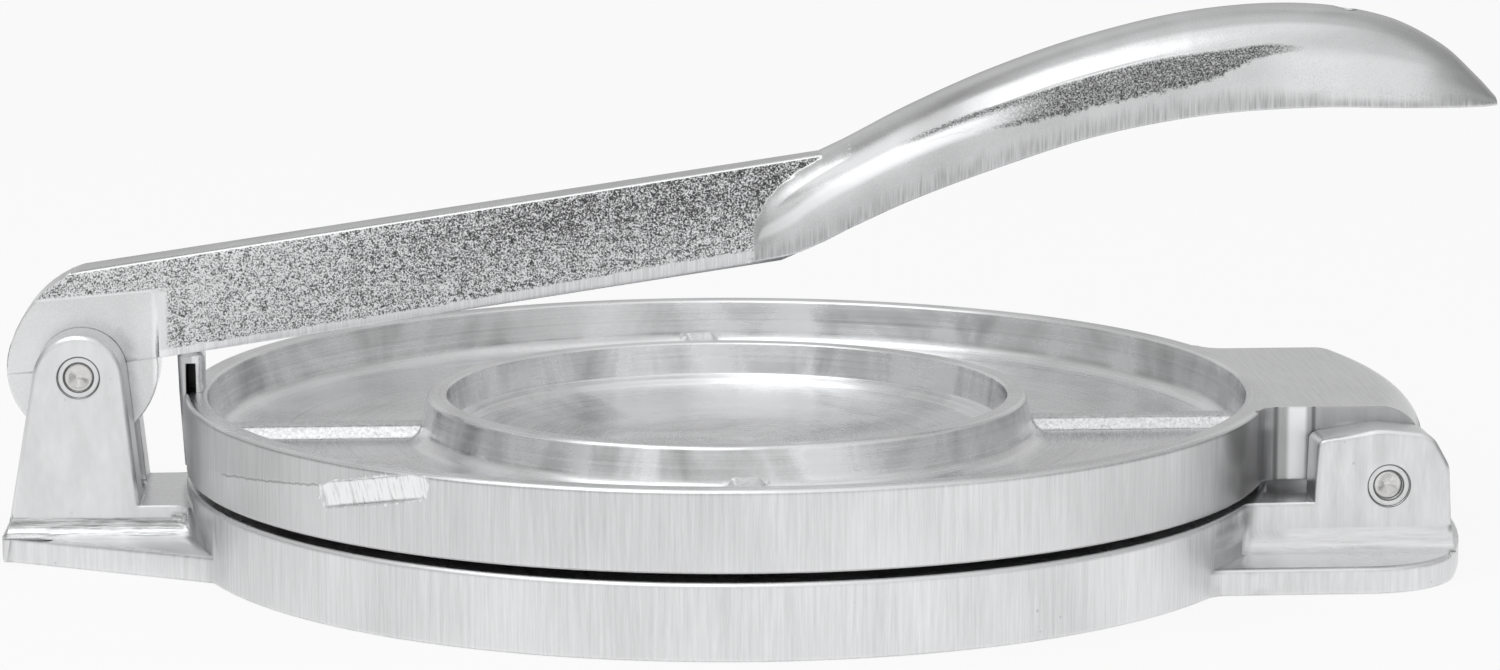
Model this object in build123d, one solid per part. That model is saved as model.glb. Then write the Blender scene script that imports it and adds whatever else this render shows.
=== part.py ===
from build123d import *
import math
import os

# Hand tortilla press in cast aluminium.  Millimetres, +Z up.
# Origin: centre of the round base, on the surface that it stands on.
# +X points to the plate hinge, -X to the lever clevis, and the front is -Y.
# The press is modelled closed, with the lever down on the plate's tab.

# ---- driving dimensions ----
disc_radius = 101.6  # both pressing discs, 8 inches across
base_height = 13.5  # top of the lower pressing face
face_gap = 1.5  # between the pressing faces when closed
plate_bottom = base_height + face_gap
rim_top = 29.4  # top of the upper plate's rim and of its hinge tongue
foot_height = 4.9  # the flat feet under the clevis and under the hinge

skirt_thickness = 6.0  # wall round the hollow under the base
base_web = 5.0  # thickness of the lower pressing disc
base_rib_width = 6.0
base_hub_radius = 14.0
draft_angle = 3.0  # taper that lets a casting leave its mould
edge_break = 0.6  # chamfer that takes the sharpness off cast edges

lever_pin_x = -120.3
lever_pin_z = 34.4
hinge_pin_x = 118.2
hinge_pin_z = 16.5
pin_radius = 2.6
pin_seat_radius = pin_radius + 0.02  # pins sit tight in the base's ears
pin_running_radius = pin_radius + 0.06  # lever and plate turn on their pins
pin_ring_radius = 3.85  # pressed ring round each end of a pin
pin_ring_depth = 0.5
pin_recess_radius = 1.7
pin_recess_depth = 0.6

clevis_half_width = 15.6
clevis_gap_half = 5.9
clevis_top_radius = 8.3
clevis_floor_z = 10.3
clevis_foot_x = -135.2

hinge_ear_outer = 42.1
hinge_ear_inner = 32.6
hinge_foot_radius = 137.3  # outer edge of the hinge foot, concentric with the discs
hinge_foot_half = 57.5
hinge_ear_end_x = 130.4
hinge_floor_z = 3.5  # channel between the ears, where the tongue swings down
wall_start_x = 85.0  # the low walls between disc and hinge ears start inside the disc

tongue_half = 31.7
tongue_end_radius = 130.2
tongue_bottom = 15.8
barrel_radius = 8.0  # of the tongue, round the hinge pin

rim_inner_radius = 97.6
ring_outer_radius = 56.5
ring_inner_radius = 52.9
ring_top = 28.0
rib_top = 22.5
dish_floor = 20.0
tab_half = 3.9
tab_left = -102.9
tab_right = -98.0

arm_slope_start = (-106.3, 36.45)  # lower edge of the lever, at its clevis end
arm_slope_end = (9.8, 53.65)  # lower edge of the lever, where the grip starts
arm_depth = 18.3
boss_radius = 14.0
head_half = 5.5
grip_shell = 3.2
hang_hole_radius = 2.4
hang_hole_x = 116.5

CENTER_BOTTOM = (Align.CENTER, Align.CENTER, Align.MIN)


def side_slab(outline, y_from, y_to):
    """Extrude an outline drawn in X and Z from one Y to another."""
    face = make_face(outline) if isinstance(outline, (Edge, Wire, Curve)) else outline
    return Pos(0, y_to, 0) * extrude(Plane.XZ * face, y_to - y_from)


def y_cylinder(radius, x, z, y_from, y_to):
    """Round bar along Y."""
    turned = Rot(90, 0, 0) * Cylinder(radius, y_to - y_from, align=CENTER_BOTTOM)
    return Pos(x, y_to, z) * turned


def mirrored(solid):
    """A solid on the front side together with its twin on the far side."""
    return solid + mirror(solid, Plane.XZ)


def facets(center, radius, start, end, count):
    """Points of a round drawn as a few straight facets, angles in degrees."""
    angles = [start + (end - start) * step / count for step in range(count + 1)]
    x, z = center
    return [(x + radius * math.cos(math.radians(a)), z + radius * math.sin(math.radians(a))) for a in angles]


def cove(radius, x_from, x_to, y, z):
    """Concave fillet strip along X, in the corner of a wall facing -Y and a floor."""
    corner = Pos(-radius / 2, radius / 2) * Rectangle(radius, radius)
    section = corner - Pos(-radius, radius) * Circle(radius)
    strip = extrude(Plane.YZ * section, x_to - x_from)
    return Pos(x_from, y, z) * strip


def pin_hole(x, z, y_outer):
    """Through hole for a pin in both ears, with the ring pressed round each mouth."""
    hole = y_cylinder(pin_seat_radius, x, z, -y_outer - 1, y_outer + 1)
    ring = y_cylinder(pin_ring_radius, x, z, -y_outer - 1, -y_outer + pin_ring_depth)
    return hole + mirrored(ring)


# ---- base: lower disc, clevis for the lever and hinge ears for the plate ----
def base_disc():
    """Lower disc with the two low walls that run out to the hinge ears."""
    wall_length = 106 - wall_start_x
    thickness = hinge_ear_outer - hinge_ear_inner
    wall = Pos(wall_start_x, hinge_ear_inner) * Rectangle(
        wall_length, thickness, align=(Align.MIN, Align.MIN)
    )
    plan = Circle(disc_radius) + wall + mirror(wall, Plane.XZ)
    inner_corners = [v for v in plan.vertices() if wall_start_x < v.X < 100]
    plan = fillet(inner_corners, 3)
    disc = extrude(plan, base_height)
    return chamfer(disc.edges().group_by(Axis.Z)[-1], edge_break)


def underside_pockets():
    """Four sectors cast out of the base from below, leaving a skirt, ribs and a hub."""
    reach = disc_radius - skirt_thickness
    sectors = Circle(reach) - Circle(base_hub_radius)
    sectors -= Rectangle(2 * disc_radius, base_rib_width)
    sectors -= Rectangle(base_rib_width, 2 * disc_radius)
    outer_corners = [v for v in sectors.vertices() if math.hypot(v.X, v.Y) > disc_radius / 2]
    sectors = fillet(outer_corners, 3)
    pocket_depth = base_height - base_web
    pockets = [extrude(face, pocket_depth, taper=draft_angle) for face in sectors.faces()]
    return Part() + pockets


def clevis_foot():
    corner_y = 15.0
    plan = Polyline(
        (-85, -41.0),
        (-108.3, -28.7),
        (clevis_foot_x + 1.0, -corner_y),
        (clevis_foot_x, -corner_y + 1.8),
        (clevis_foot_x, corner_y - 1.8),
        (clevis_foot_x + 1.0, corner_y),
        (-108.3, 28.7),
        (-85, 41.0),
        close=True,
    )
    foot = extrude(make_face(plan), foot_height)
    return chamfer(foot.edges().group_by(Axis.Z)[-1], edge_break)


def clevis():
    """Two cheeks for the lever pin on one block, joined to the disc by a low bridge."""
    top_circle = Pos(lever_pin_x - 0.1, lever_pin_z - 0.5) * Circle(clevis_top_radius)
    foot_line = Line((clevis_foot_x + 0.3, 0), (-108.6, 0))
    outline = make_hull(top_circle.edges() + foot_line.edges())
    cheeks = side_slab(outline, -clevis_half_width, clevis_half_width)
    faces = cheeks.faces().sort_by(Axis.Y)
    rim_edges = faces[0].edges() + faces[-1].edges()
    cheeks = chamfer([edge for edge in rim_edges if edge.center().Z > 1], edge_break)
    gap = Box(60, 2 * clevis_gap_half, 60, align=CENTER_BOTTOM)
    gap = fillet(gap.edges().filter_by(Axis.X).group_by(Axis.Z)[0], 2)
    cheeks -= Pos(lever_pin_x, 0, clevis_floor_z) * gap

    bridge_plan = Rectangle(60, 2 * clevis_half_width, align=(Align.MIN, Align.CENTER))
    bridge_plan = Circle(disc_radius) + Pos(clevis_foot_x + 4, 0) * bridge_plan
    inner_corners = [v for v in bridge_plan.vertices() if -110 < v.X < -90]
    bridge_plan = fillet(inner_corners, 5)
    bridge = extrude(bridge_plan, clevis_floor_z)
    bridge &= Pos(-112, 0, 0) * Box(40, 60, 40)
    cove_radius = 3.5
    strip = cove(cove_radius, clevis_foot_x + 0.6, -97, -clevis_half_width, foot_height)
    solid = cheeks + bridge + mirrored(strip) + clevis_foot()
    return solid


def hinge_foot():
    """Flat foot round the hinge, its end concentric with the discs."""
    width = 2 * hinge_foot_half
    plan = Rectangle(hinge_foot_radius, width, align=(Align.MIN, Align.CENTER))
    plan &= Circle(hinge_foot_radius)
    plan = fillet([v for v in plan.vertices() if v.X > 100], 19)
    plan += Circle(disc_radius)
    plan = fillet([v for v in plan.vertices() if 60 < v.X < 100], 5)
    foot = extrude(plan, foot_height)
    foot = chamfer([e for e in foot.edges().group_by(Axis.Z)[-1] if e.center().X > 60], edge_break)
    return foot & Pos(110, 0, 0) * Box(80, 140, 20)


def hinge_ear():
    """Front ear for the hinge pin."""
    outline = FilletPolyline(
        (104.3, 0),
        (105.0, 25.0),
        (116.5, 26.9),
        (126.0, 25.9),
        (129.3, 20.0),
        (hinge_ear_end_x, 0),
        radius=(0, 1.6, 12, 4, 4, 0),
        close=True,
    )
    ear = side_slab(outline, -hinge_ear_outer, -hinge_ear_inner)
    faces = ear.faces().sort_by(Axis.Y)
    rim_edges = faces[0].edges() + faces[-1].edges()
    ear = chamfer([edge for edge in rim_edges if edge.center().Z > 1], edge_break)
    strip = cove(4.2, 88, hinge_ear_end_x - 0.4, -hinge_ear_outer, foot_height)
    return ear + strip


def hinge_channel():
    """Low floor between the hinge ears that lets the plate's tongue swing down."""
    channel = Box(40, 2 * hinge_ear_inner, 30, align=(Align.MIN, Align.CENTER, Align.MIN))
    channel = fillet(channel.edges().filter_by(Axis.X).group_by(Axis.Z)[0], 1.2)
    return Pos(108, 0, hinge_floor_z) * channel


def base():
    solid = base_disc() + clevis() + hinge_foot() + mirrored(hinge_ear())
    solid -= underside_pockets() + hinge_channel()
    solid -= pin_hole(lever_pin_x, lever_pin_z, clevis_half_width)
    solid -= pin_hole(hinge_pin_x, hinge_pin_z, hinge_ear_outer)
    return solid


# ---- upper plate: dished disc with ring, ribs, tongue and lever tab ----
def plate_dish():
    """Turned form of the plate: rim, floor, stiffening ring and dished middle."""
    foot_round = 3.5
    rim_wall = [(disc_radius - edge_break, plate_bottom), (disc_radius, plate_bottom + edge_break)]
    rim_edge = [(disc_radius, rim_top - 0.8), (disc_radius - 0.8, rim_top)]
    rim_foot = facets((rim_inner_radius - 4.7, dish_floor + foot_round), foot_round, -20, -90, 2)
    ring_foot = facets((ring_outer_radius + 4.4, dish_floor + foot_round), foot_round, -90, -164, 2)
    ring_head = [
        (ring_outer_radius, ring_top - 0.9),
        (ring_outer_radius - 0.8, ring_top),
        (ring_inner_radius, ring_top),
    ]
    ring_step = [(52.2, 21.9), (50.2, 21.4), (49.2, 20.2)]
    dished_middle = [(38.0, 18.6), (0, 18.6)]
    outline = [(0, plate_bottom)] + rim_wall + rim_edge + [(rim_inner_radius, rim_top)] + rim_foot
    outline += ring_foot + ring_head + ring_step + dished_middle
    profile = Polyline(outline, close=True)
    return revolve(Plane.XZ * make_face(profile), Axis.Z)


def plate_ribs():
    """Four ribs from the ring out to the rim."""
    half = [(0, rib_top), (1.9, rib_top), (2.7, rib_top - 0.6), (3.8, rib_top - 1.7)]
    half += [(5.4, dish_floor), (5.4, dish_floor - 1)]
    section = Polyline(half + [(-y, z) for y, z in reversed(half[1:])], close=True)
    rib = Pos(54, 0, 0) * extrude(Plane.YZ * make_face(section), 44)
    return Part() + [Rot(0, 0, quarter * 90) * rib for quarter in range(4)]


def plate_tongue():
    """Hinge tongue flush with the rim, with the barrel for the hinge pin below it."""
    plan = Rectangle(140, 2 * tongue_half, align=(Align.MIN, Align.CENTER))
    plan &= Circle(tongue_end_radius)
    plan += Circle(disc_radius)
    plan = fillet([v for v in plan.vertices() if 60 < v.X < 100], 5)
    tongue = Pos(0, 0, tongue_bottom) * extrude(plan, rim_top - tongue_bottom)
    end_round = facets((tongue_end_radius - 7.9, rim_top - 7.9), 7.9, 0, 90, 4)
    end_profile = [(0, tongue_bottom), (tongue_end_radius, tongue_bottom)] + end_round + [(0, rim_top)]
    tongue &= revolve(Plane.XZ * make_face(Polyline(end_profile, close=True)), Axis.Z)
    tongue -= Cylinder(disc_radius - 2.0, 60)
    tongue &= Pos(120, 0, 0) * Box(60, 100, 80)
    barrel = y_cylinder(barrel_radius, hinge_pin_x, hinge_pin_z, -tongue_half, tongue_half)
    return tongue + barrel


def plate_tab():
    """Upright tab that the lever presses on, with a blind slot in its front face."""
    width = tab_right - tab_left
    middle = (tab_left + tab_right) / 2
    height = lever_underside(tab_left + 1.2) - 0.1 - dish_floor
    tab = Box(width, 2 * tab_half, height, align=CENTER_BOTTOM)
    tab = fillet(tab.edges().filter_by(Axis.Z), 1.0)
    tab = chamfer(tab.edges().group_by(Axis.Z)[-1], edge_break)
    slot = Box(1.7, 5, 7.2, align=(Align.CENTER, Align.MIN, Align.MIN))
    slot = Pos(0, -tab_half, 27.6 - dish_floor) * slot
    return Pos(middle, 0, dish_floor) * (tab - slot)


def gate_facet():
    """Where the casting's feed was ground off the rim: a small flat, front left."""
    facet_depth = 0.7
    facet = Box(10, 60, 12, align=(Align.MIN, Align.CENTER, Align.MIN))
    return Rot(0, 0, 230.6) * Pos(disc_radius - facet_depth, 0, 23.0) * facet


def upper_plate():
    solid = plate_dish() + plate_ribs() + plate_tongue() + plate_tab()
    solid -= gate_facet()
    reach = tongue_half + 1
    solid -= y_cylinder(pin_running_radius, hinge_pin_x, hinge_pin_z, -reach, reach)
    return solid


# ---- lever: head on the pin, straight arm and domed grip ----
def lever_underside(x):
    """Height of the arm's straight lower edge."""
    (x0, z0), (x1, z1) = arm_slope_start, arm_slope_end
    return z0 + (x - x0) * (z1 - z0) / (x1 - x0)


def lever_arm():
    """Straight bar, a little wider along its lower edge, with the round head."""
    top_left = (-113.5, lever_underside(-113.5) + arm_depth)
    grip_joint_x = 23.0
    outline = Curve() + [
        ThreePointArc((-134.2, 33.5), (-127.8, 48.2), top_left),
        Line(top_left, (grip_joint_x, lever_underside(grip_joint_x) + arm_depth)),
        Line((grip_joint_x, lever_underside(grip_joint_x) + arm_depth), (19.5, 59.2)),
        ThreePointArc((19.5, 59.2), (14.6, 55.9), arm_slope_end),
        Line(arm_slope_end, arm_slope_start),
        Line(arm_slope_start, (lever_pin_x, lever_pin_z)),
        Line((lever_pin_x, lever_pin_z), (-134.2, 33.5)),
    ]
    blade = side_slab(outline, -20, 20)
    start, end = -140.0, 40.0
    sections = []
    for x, top_half, low_half in ((start, 5.2, 6.9), (end, 3.4, 6.2)):
        low = lever_underside(x)
        half = [(low_half, -8), (low_half, 2.4), (top_half, arm_depth - edge_break)]
        half += [(top_half - edge_break, arm_depth)]
        corners = Polyline(half + [(-y, z) for y, z in reversed(half)], close=True)
        sections.append(Pos(x, 0, low) * (Plane.YZ * make_face(corners)))
    return blade & loft(sections, ruled=True)


def lever_head(arm):
    """Flatten the end that turns between the clevis cheeks and add the round boss."""
    recess = Box(60, 20, 60, align=(Align.MAX, Align.MAX, Align.MAX))
    recess = fillet(recess.edges().filter_by(Axis.Z).sort_by(Axis.X)[-1], 1.0)
    flats = Pos(-106.0, -head_half, 80) * recess
    boss = y_cylinder(boss_radius, lever_pin_x, lever_pin_z, -head_half + 0.4, head_half - 0.4)
    return (arm - mirrored(flats)) + boss


grip_stations = (
    # along X, half width, lower edge Z, crown Z
    (2.5, 5.6, 53.0, 62.0),
    (7.0, 8.6, 54.1, 67.0),
    (13.0, 10.7, 55.8, 71.2),
    (17.5, 11.6, 57.9, 73.5),
    (22.0, 12.2, 60.3, 75.6),
    (34.0, 12.9, 65.8, 81.8),
    (50.0, 13.0, 71.7, 88.8),
    (68.0, 13.0, 77.3, 94.9),
    (88.0, 13.0, 81.0, 99.4),
    (108.0, 12.8, 82.3, 100.6),
    (113.2, 12.6, 82.3, 100.3),
    (119.8, 12.2, 82.1, 99.1),
    (124.0, 11.8, 82.0, 98.1),
    (127.7, 11.3, 81.9, 96.8),
    (131.4, 10.5, 81.8, 94.9),
    (135.0, 9.6, 81.7, 92.7),
    (138.5, 8.3, 81.6, 89.8),
    (142.0, 6.4, 81.5, 86.4),
    (145.2, 3.2, 81.4, 83.0),
)


def grip_section(x, half_width, low, crown):
    """Half ellipse across the grip, flat below."""
    dome = EllipticalCenterArc((0, 0), half_width, crown - low, start_angle=0, arc_size=180)
    chord = Line((-half_width, 0), (half_width, 0))
    return Pos(x, 0, low) * (Plane.YZ * make_face(Curve() + [dome, chord]))


def lever_grip():
    """Domed grip, hollow underneath, with a hole near its end to hang it by."""
    shell = loft([grip_section(*station) for station in grip_stations], ruled=True)
    hollow_sections = []
    for x, half_width, low, crown in grip_stations[5:-3]:
        section = grip_section(x, half_width - grip_shell, low - 1.0, crown - grip_shell)
        hollow_sections.append(section)
    hollow = loft(hollow_sections, ruled=True)
    hole = Pos(hang_hole_x, 0, 80) * Cylinder(hang_hole_radius, 60)
    return shell, hollow, hole


def lever():
    shell, hollow, hole = lever_grip()
    solid = lever_head(lever_arm()) + shell
    solid -= hollow
    solid -= hole
    reach = clevis_half_width
    solid -= y_cylinder(pin_running_radius, lever_pin_x, lever_pin_z, -reach, reach)
    return solid


# ---- pins ----
def pin(half_length, x, z):
    """Plain steel pin with a shallow recess turned in each end."""
    rod = y_cylinder(pin_radius, x, z, -half_length, half_length)
    recess = y_cylinder(pin_recess_radius, x, z, -half_length, -half_length + pin_recess_depth)
    return rod - mirrored(recess)


parts = {
    "base": base(),
    "upper_plate": upper_plate(),
    "lever": lever(),
    "lever_pin": pin(clevis_half_width - 0.6, lever_pin_x, lever_pin_z),
    "hinge_pin": pin(hinge_ear_outer - 1.5, hinge_pin_x, hinge_pin_z),
}

os.makedirs("parts", exist_ok=True)
for name, solid in parts.items():
    solid.label = name
    export_step(solid, f"parts/{name}.step")
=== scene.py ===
import math

import bmesh
import bpy
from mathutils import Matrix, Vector


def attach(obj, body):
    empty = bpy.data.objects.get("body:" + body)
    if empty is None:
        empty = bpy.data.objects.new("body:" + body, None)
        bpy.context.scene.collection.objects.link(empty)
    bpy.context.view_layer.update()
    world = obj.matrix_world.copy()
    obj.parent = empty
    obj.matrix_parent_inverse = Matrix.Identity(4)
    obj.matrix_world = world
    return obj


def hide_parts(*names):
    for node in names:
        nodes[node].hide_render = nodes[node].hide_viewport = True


# Tortilla press in cast aluminium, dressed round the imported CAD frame.
# The scene is in metres, in the CAD's frame: origin under the middle of the base, +Z up, the front is -Y.
# The sizes below, the outlines and the masks of the materials are written in millimetres.

MM = 0.001

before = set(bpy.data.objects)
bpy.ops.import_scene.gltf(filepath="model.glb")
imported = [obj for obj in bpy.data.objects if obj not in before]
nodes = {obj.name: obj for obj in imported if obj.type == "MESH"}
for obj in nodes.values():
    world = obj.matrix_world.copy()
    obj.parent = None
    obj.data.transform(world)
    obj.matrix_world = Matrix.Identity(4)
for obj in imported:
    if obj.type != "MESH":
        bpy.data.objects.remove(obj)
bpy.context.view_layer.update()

# ---------------------------------------------------------------- sizes shared by shapes and materials
DISC_RADIUS = 101.6
BASE_TOP = 13.5
PLATE_UNDER = 15.0
DISH_FLOOR = 20.0
RIB_TOP = 22.5
RIM_TOP = 29.4
LEVER_PIN = (-120.3, 34.4)
HINGE_PIN = (118.2, 16.5)
PIN_RADIUS = 2.6
HANG_HOLE_X, HANG_HOLE_RADIUS = 116.5, 2.4

# ground gate: a slanting flat on the plate's rim, front left
GATE_TURN = math.radians(229.7 - 360)
GATE_Z = 25.2
GATE_HALF = 2.2
GATE_SLOPE = 0.19

# lower edge of the arm, from the lever's head to the grip
ARM_START, ARM_END = (-106.3, 36.45), (9.8, 53.65)

GRIP = (
    # along X, half width, lower edge Z, crown Z
    (2.5, 5.6, 53.0, 62.0),
    (7.0, 8.6, 54.1, 67.0),
    (13.0, 10.7, 55.8, 71.2),
    (22.0, 12.2, 60.3, 75.6),
    (34.0, 12.9, 65.8, 81.8),
    (50.0, 13.0, 71.7, 88.8),
    (68.0, 13.0, 77.3, 94.9),
    (88.0, 13.0, 81.0, 99.4),
    (108.0, 12.8, 82.3, 100.6),
    (124.0, 11.8, 82.0, 98.1),
    (135.0, 9.6, 81.7, 92.7),
    (142.0, 6.4, 81.5, 86.4),
    (145.2, 3.2, 81.4, 83.0),
)
GRIP_SHELL = 3.2
GRIP_START, GRIP_END = GRIP[0][0], GRIP[-1][0]

# tones of bare aluminium, as shares of the light that it mirrors; the painted highlights use them too
BRIGHTEST = 0.98
RUBBED_AND_HIGHLIGHT = 0.97


# ---------------------------------------------------------------- node helpers
class Nodes:
    """Short calls that build a shader tree."""

    def __init__(self, tree):
        self.tree = tree
        self.tree.nodes.clear()

    def new(self, kind, **settings):
        node = self.tree.nodes.new(kind)
        for key, value in settings.items():
            setattr(node, key, value)
        return node

    def put(self, socket, value):
        if isinstance(value, bpy.types.NodeSocket):
            self.tree.links.new(value, socket)
        elif value is not None:
            socket.default_value = value

    def math(self, operation, first, second=None):
        node = self.new("ShaderNodeMath", operation=operation)
        for socket, value in zip(node.inputs, (first, second)):
            self.put(socket, value)
        return node.outputs[0]

    def chain(self, operation, values):
        result = values[0]
        for value in values[1:]:
            result = self.math(operation, result, value)
        return result

    def add(self, *values):
        return self.chain("ADD", values)

    def mul(self, *values):
        return self.chain("MULTIPLY", values)

    def sub(self, a, b):
        return self.math("SUBTRACT", a, b)

    def abs(self, value):
        return self.math("ABSOLUTE", value)

    def max(self, a, b):
        return self.math("MAXIMUM", a, b)

    def min(self, a, b):
        return self.math("MINIMUM", a, b)

    def squares(self, a, b):
        return self.add(self.mul(a, a), self.mul(b, b))

    def step(self, value, low, high, a=0.0, b=1.0, smooth=True):
        """Remap value from low..high to a..b, clamped."""
        node = self.new("ShaderNodeMapRange", interpolation_type="SMOOTHSTEP" if smooth else "LINEAR")
        for socket, v in zip(node.inputs, (value, low, high, a, b)):
            self.put(socket, v)
        return node.outputs[0]

    def near(self, value, middle, inner, outer):
        """1 where value is within inner of middle, falling to 0 at outer."""
        return self.step(self.abs(self.sub(value, middle)), inner, outer, 1.0, 0.0)

    def mix(self, factor, a, b):
        node = self.new("ShaderNodeMix", data_type="FLOAT")
        for name, v in (("Factor", factor), ("A", a), ("B", b)):
            self.put(node.inputs[name], v)
        return node.outputs[0]

    def swing(self, value, middle, gain):
        """A noise value spread about a middle."""
        return self.add(middle, self.mul(self.sub(value, 0.5), gain))

    def dim(self, tone, share):
        """Take a share of the tone away."""
        return self.mul(tone, self.sub(1.0, share))

    def xyz(self, vector):
        node = self.new("ShaderNodeSeparateXYZ")
        self.put(node.inputs[0], vector)
        return node.outputs

    def vector(self, x, y, z):
        node = self.new("ShaderNodeCombineXYZ")
        for socket, v in zip(node.inputs, (x, y, z)):
            self.put(socket, v)
        return node.outputs[0]

    def noise(self, vector, scale, detail=2.0, rough=0.55, warp=0.0):
        node = self.new("ShaderNodeTexNoise")
        self.put(node.inputs["Vector"], vector)
        for name, v in (("Scale", scale), ("Detail", detail), ("Roughness", rough), ("Distortion", warp)):
            self.put(node.inputs[name], v)
        return node.outputs["Fac"]

    def streaks(self, x, y, z, rough=0.7, detail=3.0, warp=0.0):
        """Noise with a scale of its own along each direction."""
        return self.noise(self.vector(x, y, z), 1.0, detail, rough, warp)

    def cells(self, vector, scale):
        node = self.new("ShaderNodeTexVoronoi")
        self.put(node.inputs["Vector"], vector)
        self.put(node.inputs["Scale"], scale)
        return node.outputs["Distance"]

    def curve(self, value, points, scale=1.0):
        """Smooth curve through (value, result) points; results run from 0 to scale."""
        low, high = points[0][0], points[-1][0]
        node = self.new("ShaderNodeFloatCurve")
        line = node.mapping.curves[0]
        spots = [((v - low) / (high - low), result / scale) for v, result in points]
        line.points[0].location, line.points[1].location = spots[0], spots[-1]
        for spot in spots[1:-1]:
            line.points.new(*spot)
        node.mapping.update()
        self.put(node.inputs["Value"], self.step(value, low, high, smooth=False))
        return self.mul(node.outputs[0], scale)

    def blend(self, output, factor, first, second):
        """Mix two shaders into the output."""
        node = self.new("ShaderNodeMixShader")
        for socket, value in zip(node.inputs, (factor, first.outputs[0], second.outputs[0])):
            self.put(socket, value)
        self.put(output.inputs[0], node.outputs[0])


class Metal(Nodes):
    """Principled metal whose tone, roughness and relief come from masks in the part's own coordinates.

    x, y and z are in millimetres. place is the same point in metres, for noise that has no direction.
    """

    def __init__(self, name, edge_radius):
        self.material = bpy.data.materials.new(name)
        self.material.use_nodes = True
        super().__init__(self.material.node_tree)
        output = self.new("ShaderNodeOutputMaterial")
        self.shader = self.new("ShaderNodeBsdfPrincipled")
        self.shader.inputs["Metallic"].default_value = 1.0
        self.tree.links.new(self.shader.outputs[0], output.inputs[0])
        point = self.new("ShaderNodeTexCoord")
        self.place = point.outputs["Object"]
        sized = self.new("ShaderNodeVectorMath", operation="SCALE")
        self.put(sized.inputs[0], self.place)
        sized.inputs["Scale"].default_value = 1 / MM
        self.x, self.y, self.z = self.xyz(sized.outputs[0])
        self.nx, self.ny, self.nz = self.xyz(point.outputs["Normal"])
        self.edge_radius = edge_radius

    def radius_and_turn(self):
        """Distance from the Z axis, and length along the rim's circumference."""
        turn = self.mul(self.math("ARCTAN2", self.y, self.x), DISC_RADIUS)
        return self.math("SQRT", self.squares(self.x, self.y)), turn

    def around(self, x, z):
        """Distance from an axis along Y."""
        return self.math("SQRT", self.squares(self.sub(self.x, x), self.sub(self.z, z)))

    def edges(self, radius):
        node = self.new("ShaderNodeBevel", samples=6)
        node.inputs["Radius"].default_value = radius * MM
        return node.outputs[0]

    def edge_wear_and_highlight(self, radius):
        """1 on corners and edges: a painted highlight along them, with wear where handling and polishing
        have brightened the metal.
        """
        dot = self.new("ShaderNodeVectorMath", operation="DOT_PRODUCT")
        self.put(dot.inputs[0], self.edges(radius))
        self.put(dot.inputs[1], self.new("ShaderNodeNewGeometry").outputs["Normal"])
        return self.step(self.sub(1.0, dot.outputs["Value"]), 0.01, 0.16)

    def crevice_shade(self, reach=2.5):
        """Painted shade: falls from 1 in the part's own corners and gaps."""
        node = self.new("ShaderNodeAmbientOcclusion", samples=6, only_local=True)
        node.inputs["Distance"].default_value = reach * MM
        return self.step(node.outputs["AO"], 0.25, 0.7, 0.3, 1.0)

    def brushed(self, x, y, amount):
        """Stretch the highlights along a level direction given in the part's own coordinates."""
        turn = self.new(
            "ShaderNodeVectorTransform", vector_type="VECTOR", convert_from="OBJECT", convert_to="WORLD"
        )
        self.put(turn.inputs[0], self.vector(x, y, 0.0))
        unit = self.new("ShaderNodeVectorMath", operation="NORMALIZE")
        self.put(unit.inputs[0], turn.outputs[0])
        self.put(self.shader.inputs["Tangent"], unit.outputs[0])
        self.shader.inputs["Anisotropic"].default_value = amount

    def finish(self, tone, rough, height, relief, strength, tint=(0.985, 0.99, 1.0)):
        """Connect the shader; relief is the depth of the bump in millimetres."""
        colour = self.new("ShaderNodeCombineColor")
        for socket, share in zip(colour.inputs, tint):
            self.put(socket, self.mul(tone, share))
        bump = self.new("ShaderNodeBump")
        self.put(bump.inputs["Height"], height)
        self.put(bump.inputs["Distance"], relief * MM)
        self.put(bump.inputs["Strength"], strength)
        self.put(bump.inputs["Normal"], self.edges(self.edge_radius))
        self.put(self.shader.inputs["Base Color"], colour.outputs[0])
        self.put(self.shader.inputs["Roughness"], rough)
        self.put(self.shader.inputs["Normal"], bump.outputs[0])
        return self.material


# ---------------------------------------------------------------- mesh helpers
def turned(x, y, angle):
    """A point after a turn about the origin."""
    c, s = math.cos(angle), math.sin(angle)
    return x * c - y * s, x * s + y * c


def circle(x, y, radius, count=48):
    angles = [2 * math.pi * i / count for i in range(count)]
    return [(x + radius * math.cos(a), y + radius * math.sin(a)) for a in angles]


def rounded(corners, steps=6):
    """Turn (x, y, radius) corners into a polyline whose corners are arcs."""
    points = []
    count = len(corners)
    for index, (x, y, radius) in enumerate(corners):
        here = Vector((x, y))
        if radius <= 0:
            points.append((x, y))
            continue
        before = (Vector(corners[index - 1][:2]) - here).normalized()
        after = (Vector(corners[(index + 1) % count][:2]) - here).normalized()
        half = before.angle(after) / 2
        reach = radius / math.tan(half)
        middle = here + (before + after).normalized() * (radius / math.sin(half))
        start, end = here + before * reach - middle, here + after * reach - middle
        sweep = start.angle_signed(end)
        for step in range(steps + 1):
            dx, dy = turned(start.x, start.y, -sweep * step / steps)
            points.append((middle.x + dx, middle.y + dy))
    return points


def link(name, bm):
    """Close a bmesh's seams, face it outwards and put it in the scene."""
    bmesh.ops.remove_doubles(bm, verts=bm.verts, dist=1e-7)
    bmesh.ops.recalc_face_normals(bm, faces=bm.faces)
    mesh = bpy.data.meshes.new(name)
    bm.to_mesh(mesh)
    bm.free()
    piece = bpy.data.objects.new(name, mesh)
    bpy.context.scene.collection.objects.link(piece)
    return piece


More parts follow.
